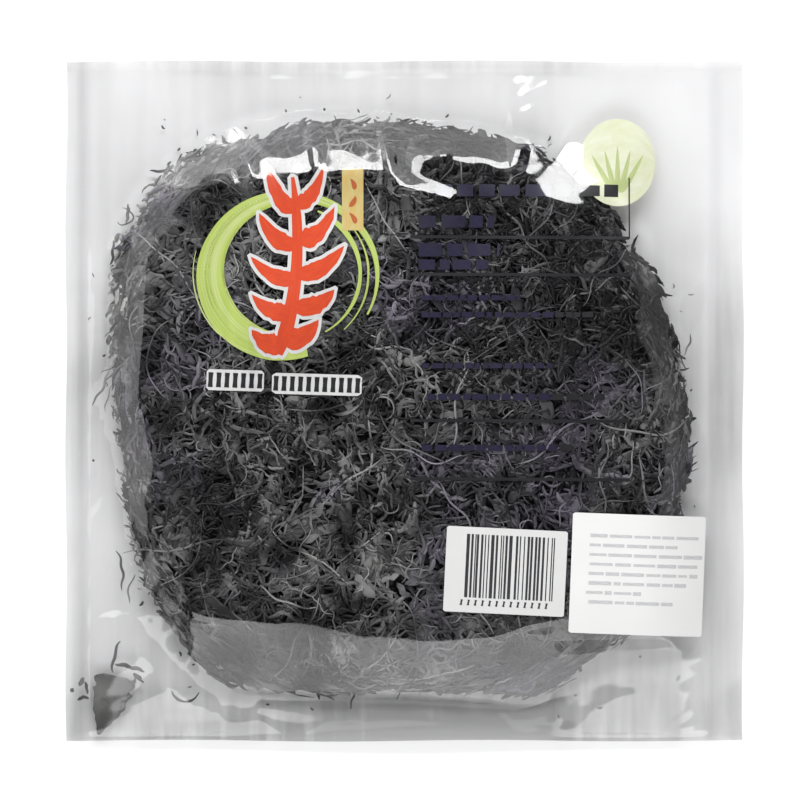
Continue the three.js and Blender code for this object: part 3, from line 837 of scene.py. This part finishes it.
def frond_tint():
    """A node group that all the seaweed shares: from dark to light by a frond's tone, which carries some
    painted light and shade, and patch by patch, purple in places, and shinier where the grain is low."""
    tree = bpy.data.node_groups.new("frond_tint", "ShaderNodeTree")
    for way, kind, names in (("INPUT", "Color", ("Dark", "Light")),
                             ("INPUT", "Float", ("Tone", "Grain", "Purple")),
                             ("OUTPUT", "Color", ("Color",)),
                             ("OUTPUT", "Float", ("Roughness", "Height"))):
        for name in names:
            tree.interface.new_socket(name, in_out=way, socket_type="NodeSocket" + kind)
    given = tree.nodes.new("NodeGroupInput").outputs
    made = tree.nodes.new("NodeGroupOutput")
    place = add(tree, "TexCoord", {}).outputs["Object"]
    grain = noise(tree, place, given["Grain"], 4)
    tone_level = maths(tree, "MULTIPLY_ADD", given["Tone"], 1.1, -0.36)
    share = maths(tree, "MULTIPLY_ADD", noise(tree, place, 24, 3), 0.7, tone_level, clamp=True)
    brown = mixed(tree, share, given["Dark"], given["Light"])
    purple_share = ranged(tree, noise(tree, place, 26, 2), 0, given["Purple"], 0.53, 0.66)
    fill(tree, made, {
        "Color": mixed(tree, purple_share, brown, (0.86, 0.80, 1.0), "MULTIPLY"),
        "Roughness": ranged(tree, grain, 0.22, 0.45),
        "Height": grain,
    })
    return tree


frond_tint_group = frond_tint()


def seaweed_finish(name, dark, light, grain=900, bump=0.35, purple=1.0):
    finish, tree, shader = new_finish(name)
    given = {"Dark": (*dark, 1), "Light": (*light, 1), "Tone": layer_of(tree, "tone"), "Grain": grain,
             "Purple": purple}
    tint = add(tree, "Group", given, node_tree=frond_tint_group).outputs
    fill(tree, shader, {
        "Base Color": tint["Color"],
        "Roughness": tint["Roughness"],
        "Specular IOR Level": 0.25,
        "Normal": relief(tree, tint["Height"], bump, 0.2 * mm),
    })
    return finish


# Near black: painted shade for the depths of the tangle
cake_core.data.materials.append(
    seaweed_finish("seaweed_core", (0.001, 0.001, 0.0015), (0.008, 0.008, 0.009), 400, 1.0))
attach(cake_core, "root")
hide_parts("bag")


# The fronds: thin crinkled blades, shreds and threads of laver, dried in a tangle and pressed flat. Each is
# a closed strip along its own curve, and thousands of a kind are joined in one piece.
# The deep shreds get a darker copy of the seaweed's finish: painted shade for their depth in the tangle
deep_shaded_finish = seaweed_finish("seaweed_deep_shaded", (0.004, 0.004, 0.005), (0.05, 0.05, 0.05))
frond_finish = seaweed_finish("seaweed_fronds", (0.008, 0.008, 0.009), (0.21, 0.209, 0.206))
strand_finish = seaweed_finish("seaweed_strands", (0.02, 0.02, 0.022), (0.32, 0.318, 0.314))
rim_finish = seaweed_finish("seaweed_rim", (0.014, 0.014, 0.015), (0.225, 0.224, 0.221), purple=0.5)
# The wisps and curls are paler than the fronds: painted light for the light that comes through thin strands
wisp_finish = seaweed_finish("seaweed_wisps", (0.06, 0.06, 0.06), (0.34, 0.34, 0.33), purple=0)
curl_finish = seaweed_finish("seaweed_curls", (0.13, 0.13, 0.13), (0.46, 0.46, 0.45), purple=0)

# The tangle has gaps in it, and is lighter and darker in blotches
pits = chart_noise(63, 1.7 * mm)
blotches = np.clip(1 + 0.9 * chart_noise(64, 3.0 * mm) + 0.6 * chart_noise(65, 9 * mm), 0.1, 2.4)


def frond_lines(rng, x, y, heading, length, points, bend, wander):
    """Curved centre lines in the plane, one row for each frond."""
    along = np.linspace(-0.5, 0.5, points)
    turns = rng.uniform(1.0, 2.4, len(x))[:, None]
    phase = rng.uniform(0, 2 * math.pi, len(x))[:, None]
    way = heading[:, None] + bend[:, None] * along
    way = way + wander[:, None] * np.sin(2 * math.pi * turns * along + phase)
    stride = (length / (points - 1))[:, None]
    line_x = np.cumsum(np.cos(way) * stride, axis=1)
    line_y = np.cumsum(np.sin(way) * stride, axis=1)
    line_x += x[:, None] - line_x.mean(axis=1, keepdims=True)
    line_y += y[:, None] - line_y.mean(axis=1, keepdims=True)
    return line_x, line_y


def frond_mesh(name, rng, lines, width, roll, crinkle, thickness, columns, tone, finish):
    """Joins closed strips along lines (fronds, points, 3), each `columns` points wide."""
    count, points = lines.shape[:2]
    ahead = np.gradient(lines, axis=1)
    ahead /= np.maximum(np.linalg.norm(ahead, axis=2, keepdims=True), 1e-9)
    flat_across = np.cross(np.broadcast_to([0.0, 0.0, 1.0], ahead.shape), ahead)
    flat_across /= np.maximum(np.linalg.norm(flat_across, axis=2, keepdims=True), 1e-9)
    upright = np.cross(ahead, flat_across)
    across = flat_across * np.cos(roll)[..., None] + upright * np.sin(roll)[..., None]
    lift = np.cross(ahead, across)
    side = np.linspace(-0.5, 0.5, columns)
    crinkles = crinkle[:, None, None] * rng.uniform(-1, 1, (count, points, columns))
    skin = lines[:, :, None, :] + across[:, :, None, :] * (width[:, :, None] * side)[..., None]
    skin = skin + lift[:, :, None, :] * crinkles[..., None]
    half = lift[:, :, None, :] * thickness / 2
    rings = np.concatenate([skin + half, (skin - half)[:, :, ::-1]], axis=2)
    room_top = on_chart(contents_top, rings[..., 0], rings[..., 1])
    room_low = on_chart(contents_low, rings[..., 0], rings[..., 1])
    least_room = 0.05 * mm
    rings[..., 2] = np.clip(rings[..., 2], room_low, np.maximum(room_top, room_low + least_room))

    loop = 2 * columns
    starts = np.arange(points - 1)[:, None] * loop
    here, next_one = starts + np.arange(loop), starts + (np.arange(loop) + 1) % loop
    walls = np.stack([here, next_one, next_one + loop, here + loop], axis=-1).reshape(-1, 4)
    near = np.array([[j, loop - 1 - j, loop - 2 - j, j + 1] for j in range(columns - 1)])
    far = near[:, ::-1] + (points - 1) * loop
    faces = np.concatenate([walls, near, far])
    faces = (faces[None] + (np.arange(count) * points * loop)[:, None, None]).reshape(-1, 4)

    mesh = bpy.data.meshes.new(name)
    mesh.vertices.add(rings.size // 3)
    mesh.vertices.foreach_set("co", rings.astype(np.float32).ravel())
    mesh.loops.add(faces.size)
    mesh.loops.foreach_set("vertex_index", faces.astype(np.int32).ravel())
    mesh.polygons.add(len(faces))
    mesh.polygons.foreach_set("loop_start", (np.arange(len(faces)) * 4).astype(np.int32))
    mesh.update(calc_edges=True)
    shade = mesh.attributes.new("tone", "FLOAT", "POINT")
    tones = tone[:, None, None] * on_chart(blotches, rings[..., 0], rings[..., 1])
    shade.data.foreach_set("value", tones.astype(np.float32).ravel())
    piece = bpy.data.objects.new(name, mesh)
    bpy.context.scene.collection.objects.link(piece)
    mesh.materials.append(finish)
    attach(piece, "root")
    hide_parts("bag")


def strewn(rng, count, inner, outer, pit_level, sector):
    """Random places on the cake between two shares of its radius, none of them in a pit."""
    spare = 3
    share = np.sqrt(rng.uniform(inner ** 2, outer ** 2, spare * count))
    angle = np.radians(rng.uniform(*sector, spare * count))
    radius = share * (cake_radius(angle) + torn_edge(angle) * share ** 6)
    x = cake_middle[0] + radius * np.cos(angle)
    y = cake_middle[1] + radius * np.sin(angle)
    kept = np.flatnonzero(on_chart(pits, x, y) < pit_level)[:count]
    return x[kept], y[kept]


def tapered(width, points, blunt):
    along = np.linspace(-1, 1, points)
    narrowing = 0.75
    return width[:, None] * (1 - np.abs(along) ** blunt * narrowing)[None, :]


def rim_headings(rng, x, y, heading, round_rim):
    """Turns most fronds near the rim to lie along it, at least `round_rim` of them all, and says which."""
    near_rim, rim_spread = 0.94, 0.3
    combed = ease(-y, 55 * mm, 90 * mm)
    rim_heading = np.arctan2(y - cake_middle[1], x - cake_middle[0]) + math.pi / 2
    rim_heading += rng.normal(0, rim_spread, len(x)) * (1 - 0.7 * combed)
    rim_share = (near_rim + (1 - near_rim) * combed) * ease(cake_share(x, y), 0.86, 0.95)
    along_rim = rng.uniform(size=len(x)) < np.maximum(round_rim, rim_share)
    return np.where(along_rim, rim_heading, heading), along_rim


def frond_tones(rng, tones, x, y):
    """Each frond's tone: darker on the right and the upper right, lighter low down and at the upper left,
    partly the seaweed's own tone and partly painted shade and painted light.
    """
    right_darker, upper_right_darker, low_lighter, upper_left_lighter = 0.2, 0.2, 0.18, 0.3
    tone = rng.beta(*tones, len(x)) * (1 - right_darker * ease(x, -10 * mm, 45 * mm))
    tone -= upper_right_darker * ease(x, -12 * mm, 14 * mm) * ease(y, 2 * mm, 32 * mm)
    tone += low_lighter * fade(y, -62 * mm, -34 * mm)
    tone += upper_left_lighter * fade(x, -72 * mm, -44 * mm) * ease(y, 30 * mm, 56 * mm)
    return tone


def scatter_fronds(name, seed, count, width, length, depth, points, columns, finish, place=(0.0, 1.0),
                   bend=1.2, wander=0.6, tilt=0.35, ripple=0.15, wave=0.35, thickness=0.12, pit_level=9.0,
                   from_back=False, round_rim=0.0, sector=(0, 360), tones=(0.7, 2.1)):
    """Fronds strewn over the cake at a range of depths under its pressed top, or over its underside. The
    ranges are from and to in millimetres, and a place in shares of the cake's radius."""
    twist, rim_bend = 0.12, 0.3
    rng = np.random.default_rng(seed)
    x, y = strewn(rng, count, *place, pit_level, sector)
    count = len(x)
    long = rng.uniform(*length, count) * mm
    wide = rng.uniform(*width, count) * mm
    heading, along_rim = rim_headings(rng, x, y, rng.uniform(0, 2 * math.pi, count), round_rim)
    rim_bends = long / cake_size + rng.normal(0, rim_bend, count)
    bends = np.where(along_rim, rim_bends, rng.normal(0, bend, count))
    line_x, line_y = frond_lines(rng, x, y, heading, long, points, bends, rng.uniform(0, wander, count))
    down = rng.uniform(*depth, count)[:, None] * mm
    swell = rng.uniform(-1, 1, (count, points)) * wave * mm
    if from_back:
        height = on_chart(contents_low, line_x, line_y) + down + swell
    else:
        height = on_chart(pressed_top, line_x, line_y) - down + swell
    roll = rng.normal(0, tilt, count)[:, None]
    roll = roll + np.cumsum(rng.normal(0, twist, (count, points)), axis=1)
    tone = frond_tones(rng, tones, x, y)
    frond_mesh(name, rng, np.stack([line_x, line_y, height], axis=2), tapered(wide, points, 4), roll,
               rng.uniform(0.3, 1, count) * ripple * mm, thickness * mm, columns, tone, finish)


scatter_fronds("deep_shreds", 102, 1850, (0.9, 2.2), (8, 20), (1.3, 2.6), 8, 2, deep_shaded_finish, (0, 0.975),
               tilt=0.5)
scatter_fronds("wide_fronds", 101, 1000, (2.2, 4.8), (7, 16), (0.3, 1.3), 8, 5, frond_finish, (0, 0.97),
               bend=0.7, ripple=0.5, tilt=0.22, pit_level=0.9)
scatter_fronds("middle_shreds", 103, 2200, (0.8, 1.8), (6, 16), (0.1, 1.1), 11, 2, frond_finish, (0, 0.985),
               pit_level=0.7)
scatter_fronds("top_shreds", 104, 1500, (0.7, 1.6), (5, 14), (-0.2, 0.5), 11, 2, frond_finish, (0, 0.99),
               pit_level=0.5)
scatter_fronds("threads", 105, 1500, (0.3, 0.6), (4, 13), (-0.3, 0.8), 9, 2, strand_finish, (0, 1.0), bend=2.0,
               thickness=0.2, pit_level=1.2)
scatter_fronds("rim_shreds", 106, 1250, (0.7, 2.2), (4, 12), (0.0, 5.5), 11, 2, rim_finish, (0.92, 0.99),
               round_rim=0.93, pit_level=1.0, tones=(0.45, 1.2))
scatter_fronds("rim_threads", 107, 260, (0.3, 0.6), (3, 8), (0.0, 5.0), 9, 2, wisp_finish, (0.95, 0.995),
               bend=3.0, round_rim=0.8, thickness=0.2)
scatter_fronds("rim_curls_above", 110, 130, (0.7, 1.7), (3, 7), (0.0, 4.0), 12, 3, curl_finish, (0.95, 1.015),
               bend=3.4, wander=0.8, round_rim=0.15, thickness=0.2, sector=(118, 172), tones=(1.0, 1.6))
scatter_fronds("rim_curls_below", 111, 70, (0.3, 0.9), (3, 8), (0.0, 4.0), 12, 2, wisp_finish, (0.96, 1.015),
               bend=2.5, wander=1.0, round_rim=0.3, thickness=0.2, sector=(178, 226), tones=(1.6, 1.4))
scatter_fronds("long_strands", 112, 120, (0.35, 0.8), (16, 38), (-0.4, 0.3), 20, 2, strand_finish, (0, 0.93),
               bend=0.9, wander=0.5, thickness=0.2, wave=0.15, tones=(1.2, 1.4))
scatter_fronds("underside_fronds", 108, 420, (2.2, 5.0), (8, 18), (0.2, 1.4), 7, 4, frond_finish, (0, 0.97),
               ripple=0.4, tilt=0.2, from_back=True)
scatter_fronds("underside_shreds", 109, 1400, (0.8, 1.9), (7, 18), (0.0, 1.0), 8, 2, frond_finish, (0, 0.985),
               from_back=True)


# The loose wisps: single strands of the same dried seaweed that stand off the cake's rim, held between the two
# sheets of film. Each has its middle (across and up), heading, length, width and its turn from end to end, in
# millimetres and degrees.
fleck_thickness, fleck_crinkle, fleck_columns = 0.15 * mm, 0.1 * mm, 3
wisp_points = 18
wisps = (
    (-78.0, 85.4, 200, 14, 1.2, -330), (-90.2, 74.6, 120, 13, 1.1, 300), (-86.0, 81.6, 178, 9, 1.1, 20),
    (-79.5, 79.0, 30, 8, 1.2, 70), (-98.2, 66.5, 84, 7, 1.2, 15), (-98.5, 65.0, 60, 13, 0.6, 250),
    (-103.5, 52.5, 85, 9, 1.0, 15), (-107.5, 4.5, 62, 14, 0.9, 30), (-105.0, 1.5, 75, 11, 0.5, -40),
    (-103.5, 11.5, 15, 9, 0.5, -30), (-100.5, -60.0, 95, 15, 0.9, 40), (-97.2, -66.5, 80, 11, 0.7, -30),
    (-102.7, -90.6, 78, 12, 1.1, -50), (-97.4, -94.4, -14, 11, 1.6, -14), (-94.4, -98.2, -40, 5, 1.8, -30),
    (-77.9, -105.2, -8, 13, 1.1, 150), (83.7, 49.5, 115, 8, 0.8, 20), (86.0, 44.0, 62, 9, 0.6, -30),
    (100.6, 19.9, 70, 8, 0.7, 30), (41.5, -87.2, 22, 9, 2.6, 30), (62.4, -93.9, 85, 4.5, 2.2, 20),
    (46.5, -103.0, 8, 10, 3.0, -25), (71.5, -87.0, 45, 8, 1.3, 30), (77.0, -83.2, 5, 7, 1.0, 0),
    (-96.6, -100.4, 60, 4.5, 1.7, 40), (-98.4, -105.2, 20, 4.0, 1.9, -40), (-99.8, -108.6, 70, 4.0, 1.5, 30),
    (-118.0, -102.6, 80, 1.6, 1.4, 0), (-114.6, -99.6, 60, 3.5, 1.6, 20), (-112.8, -101.8, 100, 4.5, 1.2, 60),
    (-114.0, -105.4, 10, 4.5, 1.4, -50),
)
smooth_wisp = 15
wisp_lines = []
for number, (x, y, heading, length, width, turn) in enumerate(wisps):
    wander = 0.0 if number == smooth_wisp else 0.3
    heading, turn = math.radians(heading), math.radians(turn)
    line_x, line_y = frond_lines(np.random.default_rng(number), np.array([x * mm]), np.array([y * mm]),
                                 np.array([heading]), np.array([length * mm]), wisp_points, np.array([turn]),
                                 np.array([wander]))
    low = on_chart(contents_low, line_x, line_y)
    top = on_chart(contents_top, line_x, line_y)
    wisp_lines.append(np.stack([line_x, line_y, low + 0.5 * (top - low)], axis=2))
rng = np.random.default_rng(131)
wisp_widths = np.array([wisp[4] * mm for wisp in wisps])
wisp_roll = np.cumsum(rng.normal(0, 0.15, (len(wisps), wisp_points)), axis=1)
wisp_tones = rng.uniform(0.1, 0.6, len(wisps))
frond_mesh("loose_wisps", rng, np.concatenate(wisp_lines), tapered(wisp_widths, wisp_points, 3), wisp_roll,
           np.full(len(wisps), fleck_crinkle), fleck_thickness, fleck_columns, wisp_tones, wisp_finish)

# The corner scrap: two torn flakes of one thin leaf, lapped over each other, that narrow down to the lower
# left corner of the bag
scrap_points, scrap_columns, tears = 26, 10, 15
scrap_flakes = (((-102.4, -97.6), (-104.8, -108), (-108.7, -118.4), 14.6),
                ((-103.6, -105.5), (-104.4, -110), (-107.4, -116.6), 8.0))
share_along = np.linspace(0, 1, scrap_points)
narrowing = 1 - 0.93 * share_along ** 1.7
blunt_start = np.minimum(1, 0.8 + share_along * 5)
scrap_lines, scrap_widths = [], []
for start, bend, stop, breadth in scrap_flakes:
    line = bow(start, bend, stop, scrap_points) * mm
    lap = (0.3 + 0.3 * len(scrap_lines)) * mm
    height = on_chart(contents_low, line[:, 0], line[:, 1]) + lap
    scrap_lines.append(np.concatenate([line, height[:, None]], axis=1))
    torn = 1 + 0.13 * np.interp(share_along, np.linspace(0, 1, tears), rng.normal(size=tears))
    scrap_widths.append(breadth * torn * narrowing * blunt_start * mm)
scrap_roll = rng.normal(0, 0.03, (len(scrap_flakes), scrap_points))
frond_mesh("corner_scrap", rng, np.array(scrap_lines), np.array(scrap_widths), scrap_roll,
           np.full(len(scrap_flakes), 0.3 * mm), 0.12 * mm, scrap_columns, np.array([0.42, 0.28]),
           seaweed_finish("seaweed_scrap", (0.05, 0.05, 0.049), (0.21, 0.21, 0.206), 500, 0.6, 0))

# The crumbs: specks of seaweed that have slipped out along the film, most of them close to the cake
crumb_count, crumb_points, crumb_lift = 170, 5, 0.25 * mm
crumb_x = rng.uniform(-112, 104, 6 * crumb_count) * mm
crumb_y = rng.uniform(-114, 112, 6 * crumb_count) * mm
crumb_share = cake_share(crumb_x, crumb_y)
crumb_chance = np.exp(-(crumb_share - 1) * 20) + 0.003
kept = np.flatnonzero((crumb_share > 1.0) & (rng.uniform(size=len(crumb_x)) < crumb_chance))[:crumb_count]
crumb_heading = rng.uniform(0, 6.3, len(kept))
crumb_length = rng.uniform(0.6, 2.6, len(kept)) * mm
crumb_bend = rng.normal(0, 1.2, len(kept))
line_x, line_y = frond_lines(rng, crumb_x[kept], crumb_y[kept], crumb_heading, crumb_length, crumb_points,
                             crumb_bend, np.zeros(len(kept)))
crumb_lines = np.stack([line_x, line_y, on_chart(contents_low, line_x, line_y) + crumb_lift], axis=2)
crumb_widths = tapered(rng.uniform(0.3, 1.0, len(kept)) * mm, crumb_points, 2)
crumb_roll = rng.normal(0, 0.3, (len(kept), crumb_points))
crumb_tones = rng.uniform(0, 0.6, len(kept))
frond_mesh("crumbs", rng, crumb_lines, crumb_widths, crumb_roll, np.full(len(kept), fleck_crinkle),
           fleck_thickness, fleck_columns, crumb_tones, wisp_finish)


# The studio: a matt white table top, a bright strip light beyond the bag's top edge with a wide dim panel
# behind it, weaker panels below, left, right and at the upper left corner, and a long lens that looks
# straight down.
deselect()
bpy.ops.mesh.primitive_plane_add(size=8, location=(0, 0, 0))
table = bpy.context.object
table.name = "table_top"
table_finish, tree, shader = new_finish("table_top")
fill(tree, shader, {"Base Color": (0.95, 0.95, 0.95, 1), "Roughness": 0.9})
table.data.materials.append(table_finish)


def panel(name, from_x, from_y, angle, distance, width, height, radiance):
    """A softbox that looks at the bag from `angle` degrees off straight above, towards (from_x, from_y)."""
    lamp = bpy.data.lights.new(name, "AREA")
    lamp.shape = "RECTANGLE"
    lamp.size, lamp.size_y = width, height
    lamp.energy = radiance * math.pi * width * height
    place = bpy.data.objects.new(name, lamp)
    lean = math.radians(angle)
    away = Vector((from_x, from_y, 0)).normalized()
    place.location = (away * math.sin(lean) + Vector((0, 0, math.cos(lean)))) * distance
    place.rotation_euler = place.location.to_track_quat("Z", "Y").to_euler()
    bpy.context.scene.collection.objects.link(place)


panel("key", 0.08, 1, 39, 1.2, 0.95, 0.22, 13)
panel("key_surround", -0.02, 1, 66, 1.6, 2.2, 1.35, 2.4)
panel("low_panel", 0, -1, 36, 1.4, 1.6, 0.75, 2.7)
panel("low_wrap", 0, -1, 66, 1.4, 1.6, 0.85, 1.5)
panel("left_panel", -1, 0, 62, 1.4, 1.3, 1.0, 1.4)
panel("right_panel", 1, 0, 54, 1.4, 1.3, 0.9, 0.45)
panel("corner_panel", -0.8, 1, 60, 1.5, 0.9, 0.9, 1.2)

world = bpy.data.worlds.new("studio")
world.use_nodes = True
fill(world.node_tree, world.node_tree.nodes["Background"], {"Color": (1, 1, 1, 1), "Strength": 0.04})
bpy.context.scene.world = world
bpy.context.scene.view_settings.view_transform = "Standard"

# The picture is 800 pixels square, and the bag is 675 pixels wide in it, a little right of the middle
picture = 800
bag_pixels = 675
bag_middle_pixel = (404.5, 401)
pixel = (bag_high.x - bag_low.x) / bag_pixels
camera_x = (picture / 2 - bag_middle_pixel[0]) * pixel
camera_y = (bag_middle_pixel[1] - picture / 2) * pixel
camera_height = 2.0
lens_data = bpy.data.cameras.new("camera")
camera = bpy.data.objects.new("camera", lens_data)
bpy.context.scene.collection.objects.link(camera)
camera.location = (camera_x, camera_y, camera_height)
lens_data.sensor_width = 36
lens_data.lens = lens_data.sensor_width * camera_height / (picture * pixel)
lens_data.clip_start = 0.1
lens_data.clip_end = 10
bpy.context.scene.camera = camera
